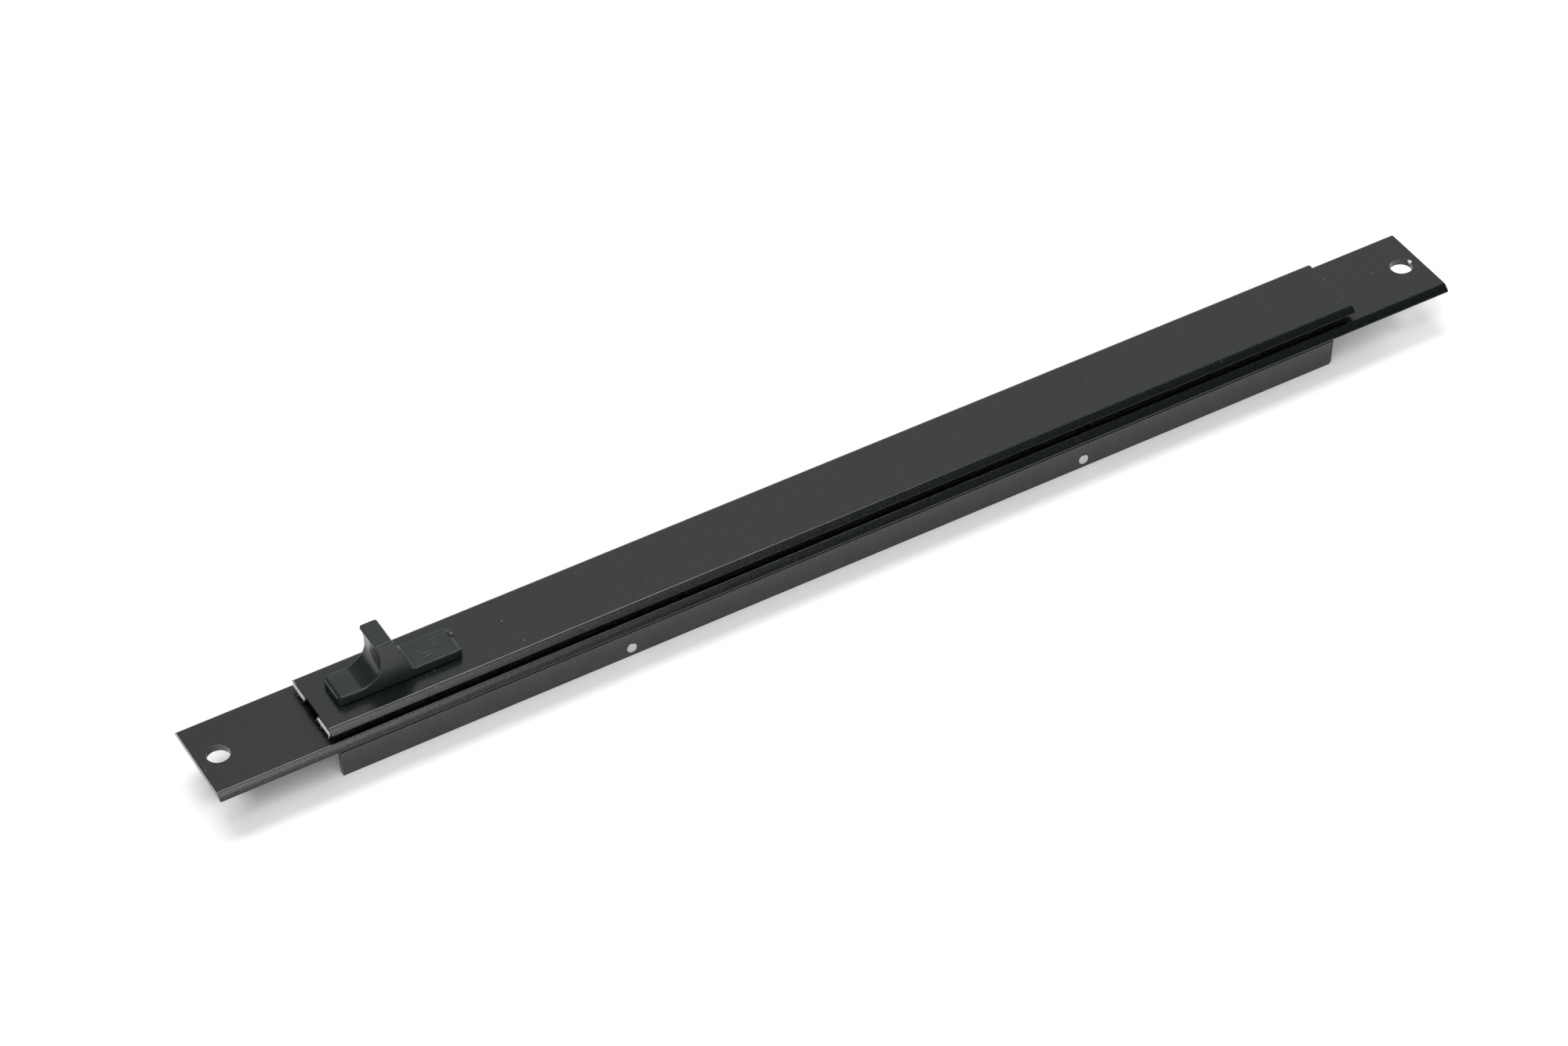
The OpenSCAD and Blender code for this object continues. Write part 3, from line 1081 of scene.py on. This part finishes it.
@dataclass
class Flap:
    """The flap extrusion with its bevelled lips and the grooves under it."""

    length: float = 316.9
    mid_x: float = 1.35
    width: float = 24.4
    flat: float = 21.2
    top_z: float = 5.75
    web_t: float = 1.2
    lip_h: float = 1.55
    lip_land: float = 0.16
    lip_t: float = 0.8
    crown: tuple[float, float] = (0.028, 0.043)
    rail_z: float = 3.45
    flange_t: float = 0.5
    groove: tuple[float, float] = (4.0, 11.1)
    reach: float = 0.95
    stem_in: float = 3.4
    centre_reach: float = 0.45
    stem: tuple[float, float, float] = (-133.6, 8.2, 4.2)
    pegs: tuple[float, float] = (-147.2, -119.9)
    peg_r: float = 1.4
    end_rim: float = 0.12

    def outline(self) -> np.ndarray:
        """The whole section: the half section's corners and their mirror image, rounded.

        Each row of the half section holds y, z and the radius of a corner, from the flat's
        edge down the bevel and lip, and in along the grooves to the middle.

        Returns:
            The outline in Y and Z.
        """
        web_z, lip_z = self.top_z - self.web_t, self.top_z - self.lip_h
        g0, g1 = self.groove
        fz = self.rail_z + self.flange_t
        w = self.width / 2
        half = np.array([
            [self.flat / 2, self.top_z, 1.1],
            [(self.flat / 2 + w) / 2 + self.crown[0],
             (self.top_z + lip_z + self.lip_land) / 2 + self.crown[1], 9.0],
            [w, lip_z + self.lip_land, 0.14],
            [w, lip_z, 0.05], [w - self.lip_t, lip_z, 0.05],
            [w - self.lip_t, self.rail_z, 0.06],
            [g1 - self.reach, self.rail_z, 0.06], [g1 - self.reach, fz, 0.05],
            [g1, fz, 0.0], [g1, web_z, 0.0], [g0, web_z, 0.0], [g0, fz, 0.0],
            [g0 + self.reach, fz, 0.05], [g0 + self.reach, self.rail_z, 0.06],
            [self.stem_in - self.centre_reach, self.rail_z, 0.06],
            [self.stem_in - self.centre_reach, fz, 0.05], [self.stem_in, fz, 0.0],
            [self.stem_in, web_z, 0.0]])
        mirrored = half[::-1].copy()
        mirrored[:, 0] *= -1
        both = np.concatenate([half, mirrored])
        return round_corners(both[:, :2], both[:, 2], 4)

    def build(self, paints: Paintbox) -> None:
        """Makes the flap and puts it in place.

        Args:
            paints: The materials.
        """
        flap = prism("flap_extrusion_skin", self.outline(), self.mid_x - self.length / 2,
                     self.mid_x + self.length / 2, self.end_rim, on_x)
        x, sx, sy = self.stem
        window = np.array([[x - sx / 2, -sy / 2], [x + sx / 2, -sy / 2],
                           [x + sx / 2, sy / 2], [x - sx / 2, sy / 2]])
        cuts = [prism("window", window, 3.0, 7.0, 0.0, on_z)]
        cuts += [prism("peg_hole", stadium(p, p, 0, self.peg_r, 10), 3.0, 7.0, 0.0, on_z)
                 for p in self.pegs]
        combine(flap, cuts, "DIFFERENCE")
        finish_shading(flap, 28.0)
        install(flap, "flap", Finish.FLAP_COAT, paints, "flap_extrusion")


@dataclass
class FingerHook:
    """The moulded finger hook: a pad, a scoop under an overhanging nose and a raised panel."""

    x: float = -151.6
    z: float = 5.76
    width: float = 10.0
    length: float = 36.6
    corner_r: float = 2.3
    nose_r: float = 0.9
    nose_x: float = 12.1
    nose_z: tuple[float, float] = (12.2, 17.0)
    pad_h: float = 2.95
    nose_h: float = 15.2
    scoop_x: float = 7.2
    scoop_mid_x: float = 13.0
    scoop_rz: float = 6.4
    crease: float = 0.22
    panel_h: float = 2.75
    bar_r: float = 0.2
    bar_h: float = 0.14
    stub_x: tuple[float, float] = (0.95, 0.12)
    stub_y: tuple[float, float] = (1.4, 3.3)
    voxel: float = 0.16

    def side(self) -> np.ndarray:
        """Side outline: the pad, a quarter ellipse for the scoop, the nose and the panel.

        The scoop runs x = x0 + a (sin t - sin c) / (1 - sin c) and
        z = z0 + b (cos c - cos t) / cos c, for t from the crease angle c to 90 degrees.

        Returns:
            The outline in X and Z.
        """
        t0 = self.crease
        t = np.linspace(t0, math.pi / 2, 17)
        z0 = self.pad_h - 0.22
        scoop = np.stack([self.scoop_x + (self.scoop_mid_x - self.scoop_x)
                          * (np.sin(t) - math.sin(t0)) / (1 - math.sin(t0)),
                          z0 + self.scoop_rz * (math.cos(t0) - np.cos(t)) / math.cos(t0)], 1)
        start = [[0, 0], [0.3, 1.9], [0.75, 2.75], [1.25, self.pad_h]]
        nose = [[13.0, 11.3], [12.65, 13.2], [self.nose_x, 14.6], [12.4, self.nose_h],
                [16.9, self.nose_h], [17.3, 14.8], [21.2, 4.2], [21.7, 3.3],
                [22.5, self.panel_h], [35.2, self.panel_h], [35.95, 2.3], [36.3, 1.5],
                [self.length, 0]]
        loop = np.concatenate([np.array(start), scoop, np.array(nose)])
        return loop + np.array([self.x, self.z])

    def plan(self) -> np.ndarray:
        """Plan outline: a rectangle with round corners.

        Returns:
            The outline in X and Y.
        """
        half = self.width / 2
        corners = np.array([[0, -half], [self.length, -half], [self.length, half], [0, half]])
        corners[:, 0] += self.x
        return round_corners(corners, np.full(4, self.corner_r), 8)

    def nose_corners(self) -> list[bpy.types.Object]:
        """Cutters that round the nose's upright corners at its tip.

        Each is a square less a quarter circle of radius r about (x + r, y - r), along Z.

        Returns:
            The cutters, rear and front.
        """
        r, out = self.nose_r, 0.6
        x, half = self.x + self.nose_x, self.width / 2
        t = np.linspace(math.pi / 2, math.pi, 9)
        arc = np.stack([x + r + r * np.cos(t), half - r + r * np.sin(t)], 1)
        rear = np.concatenate([arc, np.array([[x - out, half - r], [x - out, half + out],
                                              [x + r, half + out]])])
        low, high = (self.z + h for h in self.nose_z)
        return [prism("corner", rear * [1, side], low, high, 0.0, on_z) for side in (1, -1)]

    def marks(self) -> bpy.types.Object:
        """Plain raised bars on the panel: a row of four and, before it, a pair.

        Each bar is a stadium outline raised along Z with a soft rim. A row holds its place
        along the hook, its bars' places across it and their length.

        Returns:
            All the bars as one mesh.
        """
        z = self.z + self.panel_h
        rows = [(self.x + 30.2, (-0.2, 0.75, 1.7, 2.65), 1.5),
                (self.x + 26.2, (-2.4, -1.2), 1.9)]
        parts = [prism_rings(stadium(x, x + long, y, self.bar_r, 6), z - 0.3, z + self.bar_h,
                             0.06, on_z) for x, ys, long in rows for y in ys]
        verts, faces, start = [], [], 0
        for rings in parts:
            v, f = bridge(rings)
            verts.append(v)
            faces += [[k + start for k in face] for face in f]
            start += len(v)
        return new_object("finger_hook_marks", np.concatenate(verts), faces)

    def gate_stub(self) -> bpy.types.Object:
        """The torn plastic left where the moulding was cut from its runner.

        A short outline along X whose ragged upper edge is moved by seeded noise.

        Returns:
            The stub.
        """
        rng, n = np.random.default_rng(7), 11
        y = np.linspace(*self.stub_y, n)
        low = np.stack([y, np.full(n, self.z + 1.9)], 1)
        top = np.stack([y, self.z + self.panel_h + 0.05 + rng.uniform(-0.25, 0.3, n)], 1)
        top[[0, -1], 1] = self.z + 2.3
        near, far = (self.x + self.length - d for d in self.stub_x)
        rings = prism_rings(np.concatenate([low, top[::-1]]), near, far, 0.0, on_x, 2)
        rings[-2:, :, 0] += rng.normal(0, 0.13, rings[-2:, :, 0].shape) * MM
        return new_object("finger_hook_gate_stub", *bridge(rings))

    def build(self, paints: Paintbox) -> None:
        """Makes the hook and puts it in place.

        Args:
            paints: The materials.
        """
        hook = prism("finger_hook", self.side(), -self.width / 2, self.width / 2, 0.3, on_y)
        combine(hook, [prism("plan", self.plan(), self.z - 1, self.z + 20, 0.0, on_z)],
                "INTERSECT")
        combine(hook, self.nose_corners(), "DIFFERENCE")
        remesh = hook.modifiers.new("skin", "REMESH")
        remesh.mode = "VOXEL"
        remesh.voxel_size = self.voxel * MM
        relax = hook.modifiers.new("relax", "SMOOTH")
        relax.factor = 0.5
        relax.iterations = 4
        bake(hook)
        hook.data.shade_smooth()
        install(hook, "flap", Finish.HOOK, paints, "hook")
        marks = self.marks()
        finish_shading(marks, 50.0)
        install(marks, "flap", Finish.HOOK, paints)
        install(self.gate_stub(), "flap", Finish.TORN, paints)


@dataclass
class PileSeal:
    """A pile strip: a soft core and thousands of fibres that reach down to the plate.

    Attributes:
        name: Start of its pieces' names.
        side: -1 for the front strip, 1 for the rear one.
        node: CAD node that the core stands for.
        trim: Distance from the strip's ends to the last ordinary fibres.
        short: Mean distance by which the tips fall short of the plate.
        lean: Spread of the tips' lean along and across the strip.
        bend: Spread of the fibres' bend.
        thick: Thinnest and thickest radius of a fibre at its root.
        taper: Radius at root, middle and tip, as a share of that at the root.
        fray: Number of fibres that fan out of each end.
        fan_reach: Least and greatest reach of these.
        stray_from: Share of them that lie neatly; the others are stray.
        stray_reach: Least and greatest reach of a stray one.
    """

    name: str
    side: int
    node: str
    mid_y: float = 7.55
    width: float = 4.7
    x0: float = -157.0
    x1: float = 159.7
    root_z: float = 3.92
    tip_z: float = 2.04
    trim: float = 1.1
    stations: int = 420
    wobble: float = 0.07
    count: int = 7600
    short: float = 0.16
    lean: tuple[float, float] = (0.2, 0.06)
    bend: float = 0.05
    thick: tuple[float, float] = (0.035, 0.06)
    taper: tuple[float, float, float] = (1.0, 0.85, 0.35)
    fray: int = 620
    fan_w: float = 7.0
    fan_z: tuple[float, float] = (3.6, 4.45)
    fan_in: float = 0.15
    fan_reach: tuple[float, float] = (0.2, 0.42)
    fan_side: float = 0.08
    fan_drop: float = 0.15
    stray_from: float = 0.985
    stray_reach: tuple[float, float] = (0.5, 1.1)
    tuft_z: tuple[float, float] = (3.52, 4.5)
    tuft_gap: float = 0.11
    tuft_t: float = 0.26
    seed: int = 11

    def core(self) -> bpy.types.Object:
        """The strip's dense middle: an outline with a wavy lower edge, carried along X.

        The lower edge is low + 0.1 (y / w) squared, and seeded noise moves every point but
        the two upper corners.

        Returns:
            The core.
        """
        w = self.width / 2 - 0.2
        y = np.linspace(-w, w, 13)
        low = self.tip_z + 0.28 + 0.1 * (y / w) ** 2
        top = self.root_z + 0.08
        section = np.concatenate([np.stack([y, low], 1), np.array([[w, top], [-w, top]])])
        rng = np.random.default_rng(self.seed)
        stations = np.linspace(self.x0 + self.trim, self.x1 - self.trim, self.stations)
        wobble = rng.normal(0, self.wobble, (self.stations, len(section), 2))
        wobble[:, -2:] = 0
        rings = np.empty((self.stations, len(section), 3))
        rings[:, :, 0] = stations[:, None]
        rings[:, :, 1] = section[None, :, 0] + self.side * self.mid_y + wobble[:, :, 0]
        rings[:, :, 2] = np.maximum(section[None, :, 1] + wobble[:, :, 1], self.tip_z)
        return new_object(f"{self.name}_core", *bridge(rings * MM))

    def tuft(self, end: int) -> bpy.types.Object:
        """The matted fibre end that shows in front of the groove.

        A round-cornered outline carried a short way along X, with its ragged edge moved
        by seeded noise.

        Args:
            end: -1 for the left end, 1 for the right one.

        Returns:
            The tuft.
        """
        rng = np.random.default_rng(self.seed + 5 + end)
        w, n = self.fan_w / 2, 40
        y = np.linspace(-w, w, n)
        low = self.tuft_z[0] + rng.normal(0, self.wobble, n) + 0.25 * np.abs(y / w) ** 6
        top = self.tuft_z[1] + rng.normal(0, 0.03, n)
        outline = np.concatenate([np.stack([y, low], 1), np.stack([y, top], 1)[::-1]])
        outline[:, 0] += self.side * self.mid_y
        face = (self.x0 if end < 0 else self.x1) + end * self.tuft_gap
        rings = prism_rings(outline, face, face + end * self.tuft_t, 0.0, on_x, 2)
        middle = rings[-1:, :, 1:].mean(1, keepdims=True)
        rings[-1:, :, 1:] = (rings[-1:, :, 1:] - middle) * 0.93 + middle
        rings[-2:, :, 0] += rng.normal(0, 0.03, rings[-2:, :, 0].shape) * MM
        return new_object(f"{self.name}_tuft_{'left' if end < 0 else 'right'}", *bridge(rings))

    def fibres(self) -> bpy.types.Object:
        """The fibres: each a three-sided spike of three rings, from its root to its tip.

        The middle ring lies at the mean of root and tip, pushed sideways by the fibre's bend.
        The last ones at each end fan out of the sawn end of the groove.

        Returns:
            All the fibres as one mesh.
        """
        rng = np.random.default_rng(self.seed + 1)
        n, m = self.count + 2 * self.fray, 2 * self.fray
        w = self.width / 2
        root = np.empty((n, 3))
        root[:, 0] = rng.uniform(self.x0 + self.trim, self.x1 - self.trim, n)
        root[:, 1] = rng.uniform(-w, w, n)
        root[:, 2] = self.root_z
        lean = [rng.normal(0, self.lean[0], n), rng.normal(0, self.lean[1], n), np.zeros(n)]
        tip = root + np.stack(lean, 1)
        tip[:, 1] = np.clip(tip[:, 1], -w, w)
        tip[:, 2] = self.tip_z + rng.exponential(self.short, n)
        edge = slice(self.count, None)
        at_left = np.arange(m) < self.fray
        out = np.where(at_left, -1.0, 1.0)
        root[edge, 0] = np.where(at_left, self.x0 + self.fan_in, self.x1 - self.fan_in)
        root[edge, 1] = rng.uniform(-self.fan_w / 2, self.fan_w / 2, m)
        root[edge, 2] = rng.uniform(*self.fan_z, m)
        stray = rng.uniform(0, 1, m) > self.stray_from
        reach = np.where(stray, rng.uniform(*self.stray_reach, m),
                         rng.uniform(*self.fan_reach, m))
        across = rng.normal(0, self.fan_side, m) * np.where(stray, 7, 1)
        drop = rng.uniform(0.0, self.fan_drop, m) * np.where(stray, 8, 1)
        tip[edge] = root[edge] + np.stack([out * reach, across, -drop], 1)
        bend = rng.normal(0, self.bend, (n, 3)) * np.array([1, 1, 0])
        mid = (root + tip) / 2 + bend
        lines = np.stack([root, mid, tip], 1)
        radius = rng.uniform(*self.thick, n)[:, None] * np.array(self.taper)[None]
        angle = np.arange(3) * 2 * math.pi / 3
        ring = np.stack([np.cos(angle), np.sin(angle), np.zeros(3)], 1)
        points = lines[:, :, None, :] + radius[:, :, None, None] * ring[None, None]
        points[..., 1] += self.side * self.mid_y
        points[..., 2] = np.maximum(points[..., 2], self.tip_z)
        j = np.arange(3)
        k = (j + 1) % 3
        side_faces = np.concatenate([np.stack([j + s, k + s, k + s + 3, j + s + 3], 1)
                                     for s in (0, 3)])
        tris = np.array([[2, 1, 0], [6, 7, 8]])
        base = (np.arange(n) * 9)[:, None, None]
        quads = (side_faces[None] + base).reshape(-1, 4).tolist()
        caps = (tris[None] + base).reshape(-1, 3).tolist()
        mesh = bpy.data.meshes.new(f"{self.name}_fibres")
        mesh.from_pydata((points.reshape(-1, 3) * MM).tolist(), [], quads + caps)
        mesh.update()
        obj = bpy.data.objects.new(mesh.name, mesh)
        bpy.context.scene.collection.objects.link(obj)
        return obj

    def build(self, paints: Paintbox) -> None:
        """Makes the core and the fibres and puts them in place.

        Args:
            paints: The materials.
        """
        core = self.core()
        core.data.shade_smooth()
        install(core, "flap", Finish.PILE, paints, self.node)
        install(self.fibres(), "flap", Finish.PILE, paints)
        for end in (-1, 1):
            install(self.tuft(end), "flap", Finish.PILE, paints)


@dataclass
class HiddenWorks:
    """The pieces inside, which keep their CAD shapes and get their finishes here."""

    black: tuple[str, ...] = ("link_a", "link_b", "flap_bracket_a", "flap_bracket_b")
    white: tuple[str, ...] = ("spacer_a_front", "spacer_a_rear", "spacer_b_front",
                              "spacer_b_rear")
    steel: tuple[str, ...] = ("friction_washer_a", "friction_washer_b", "hook_clip")
    pins: tuple[str, ...] = ("flap_pin_a", "flap_pin_b")
    tape: tuple[str, ...] = ("front_seal_backing", "rear_seal_backing")

    def build(self, paints: Paintbox) -> None:
        """Dresses each node.

        Args:
            paints: The materials.
        """
        for names, finish in ((self.black, Finish.BLACK_NYLON),
                              (self.white, Finish.NATURAL_NYLON), (self.steel, Finish.SPRING),
                              (self.pins, Finish.PIN), (self.tape, Finish.TAPE)):
            for name in names:
                paints.dress(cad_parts[name], finish)
                LOG.info("%s: dressed as %s", name, finish.value)


# ---------------------------------------------------------------------------
# Studio
# ---------------------------------------------------------------------------


@dataclass(frozen=True)
class Softbox:
    """A rectangular area light that faces a point, with its places in metres.

    A glow of 1 gives the brightness of white paper.
    """

    name: str
    place: tuple[float, float, float]
    aim: tuple[float, float, float]
    size: tuple[float, float]
    glow: float

    def build(self) -> None:
        """Makes the light, whose power is pi times its area times its glow."""
        data = bpy.data.lights.new(self.name, "AREA")
        data.shape = "RECTANGLE"
        data.size, data.size_y = self.size
        data.energy = math.pi * self.size[0] * self.size[1] * self.glow
        light = bpy.data.objects.new(self.name, data)
        z = np.array(self.place, float) - np.array(self.aim, float)
        z /= np.linalg.norm(z)
        x = np.cross([0, 0, 1], z)
        x /= np.linalg.norm(x)
        turn = np.eye(4)
        turn[:3, 0], turn[:3, 1], turn[:3, 2] = x, np.cross(z, x), z
        turn[:3, 3] = self.place
        light.matrix_world = Matrix(turn.tolist())
        light.visible_camera = False
        bpy.context.scene.collection.objects.link(light)


@dataclass
class Studio:
    """Pale floor, soft lights and the camera."""

    floor_z: float = -13.2
    azimuth: float = -27.27
    elevation: float = 42.24
    roll: float = -3.29
    lens: float = 107.4
    eye: tuple[float, float, float] = (-443.45, -827.18, 846.16)
    room: float = 0.05
    backdrop: float = 0.9
    lamps: tuple[Softbox, ...] = (
        Softbox("overhead_box", (-0.05, 0.30, 1.3), (-0.04, 0.24, 0), (1.1, 0.60), 6.0),
        Softbox("front_box", (-0.17, -0.75, 1.1), (-0.17, 0, 0), (0.84, 0.62), 3.4),
        Softbox("left_box", (-1.0, -0.6, 1.3), (0, 0, 0), (0.8, 0.8), 5.0),
        Softbox("right_box", (1.3, 0.05, 0.5), (0, 0, 0), (0.8, 0.7), 4.5),
        Softbox("back_wall", (1.15, 1.6, 1.15), (1.15, 0, 0.9), (2.4, 2.3), 0.67))

    def camera(self) -> None:
        """A camera that looks down the given azimuth and elevation, rolled about its axis."""
        a, e, r = (math.radians(v) for v in (self.azimuth, self.elevation, self.roll))
        back = np.array([math.sin(a) * math.cos(e), -math.cos(a) * math.cos(e), math.sin(e)])
        right = np.cross(-back, [0, 0, 1])
        right /= np.linalg.norm(right)
        up = np.cross(right, -back)
        turned_right = math.cos(r) * right + math.sin(r) * up
        turned_up = -math.sin(r) * right + math.cos(r) * up
        data = bpy.data.cameras.new("camera")
        data.lens = self.lens
        data.sensor_width = 36.0
        data.clip_start, data.clip_end = 0.01, 50.0
        cam = bpy.data.objects.new("camera", data)
        turn = np.eye(4)
        turn[:3, 0], turn[:3, 1], turn[:3, 2] = turned_right, turned_up, back
        turn[:3, 3] = np.array(self.eye) * MM
        cam.matrix_world = Matrix(turn.tolist())
        bpy.context.scene.collection.objects.link(cam)
        bpy.context.scene.camera = cam

    def floor(self) -> None:
        """A wide pale floor with a faint mottle, which glows so that it stays pale past the
        lamps' reach; its faint glow near the vent is painted light that lifts the vent's
        shadows.
        """
        half = 6.0
        corners = np.array([[-half, -half], [half, -half], [half, half], [-half, half]])
        verts = np.column_stack([corners, np.full(4, self.floor_z * MM - 0.00002)])
        obj = new_object("studio_floor", verts, [[0, 1, 2, 3]])
        n = Nodes("studio_floor")
        n.link(n.blend(n.noise(60.0, 3.0), (0.91, 0.91, 0.91), (0.93, 0.93, 0.93)),
               n.shader.inputs["Base Color"])
        # The floor glows, faintly near the vent and more strongly far out; near the vent the
        # glow is painted light that lifts the vent's shadows on the floor.
        away = n.add("ShaderNodeVectorMath", operation="LENGTH")
        n.link(n.coords, away.inputs[0])
        n.link(n.ramp(away.outputs["Value"], 0.7, 2.2, 0.13, 0.9),
               n.shader.inputs["Emission Strength"])
        n.shader.inputs["Emission Color"].default_value = (1.0, 1.0, 1.0, 1.0)
        n.set(Roughness=0.9, Specular_IOR_Level=0.1)
        obj.data.materials.append(n.material)

    def surroundings(self) -> None:
        """Dim room light, with a pale backdrop where the room itself is in view."""
        world = bpy.data.worlds.new("room")
        bpy.context.scene.world = world
        world.use_nodes = True
        tree = world.node_tree
        tree.nodes.clear()
        out = tree.nodes.new("ShaderNodeOutputWorld")
        path = tree.nodes.new("ShaderNodeLightPath")
        mix = tree.nodes.new("ShaderNodeMixShader")
        tree.links.new(path.outputs["Is Camera Ray"], mix.inputs[0])
        for level, target in ((self.room, mix.inputs[1]), (self.backdrop, mix.inputs[2])):
            back = tree.nodes.new("ShaderNodeBackground")
            back.inputs["Color"].default_value = (level, level, level, 1.0)
            tree.links.new(back.outputs["Background"], target)
        tree.links.new(mix.outputs["Shader"], out.inputs["Surface"])

    def build(self) -> None:
        """Makes the camera, the floor and the lights."""
        self.camera()
        self.floor()
        self.surroundings()
        for lamp in self.lamps:
            lamp.build()
        bpy.context.scene.view_settings.view_transform = "Standard"
        bpy.context.scene.view_settings.look = "None"


def main() -> None:
    """Builds the vent piece by piece, then the studio."""
    logging.basicConfig(level=logging.INFO, format="%(message)s")
    paints = Paintbox()
    BasePlate().build(paints)
    CrossPins().build(paints)
    Flap().build(paints)
    FingerHook().build(paints)
    PileSeal("front_pile", -1, "front_seal_pile", seed=11).build(paints)
    PileSeal("rear_pile", 1, "rear_seal_pile", seed=23).build(paints)
    HiddenWorks().build(paints)
    Studio().build()


if __name__ == "__main__":
    main()
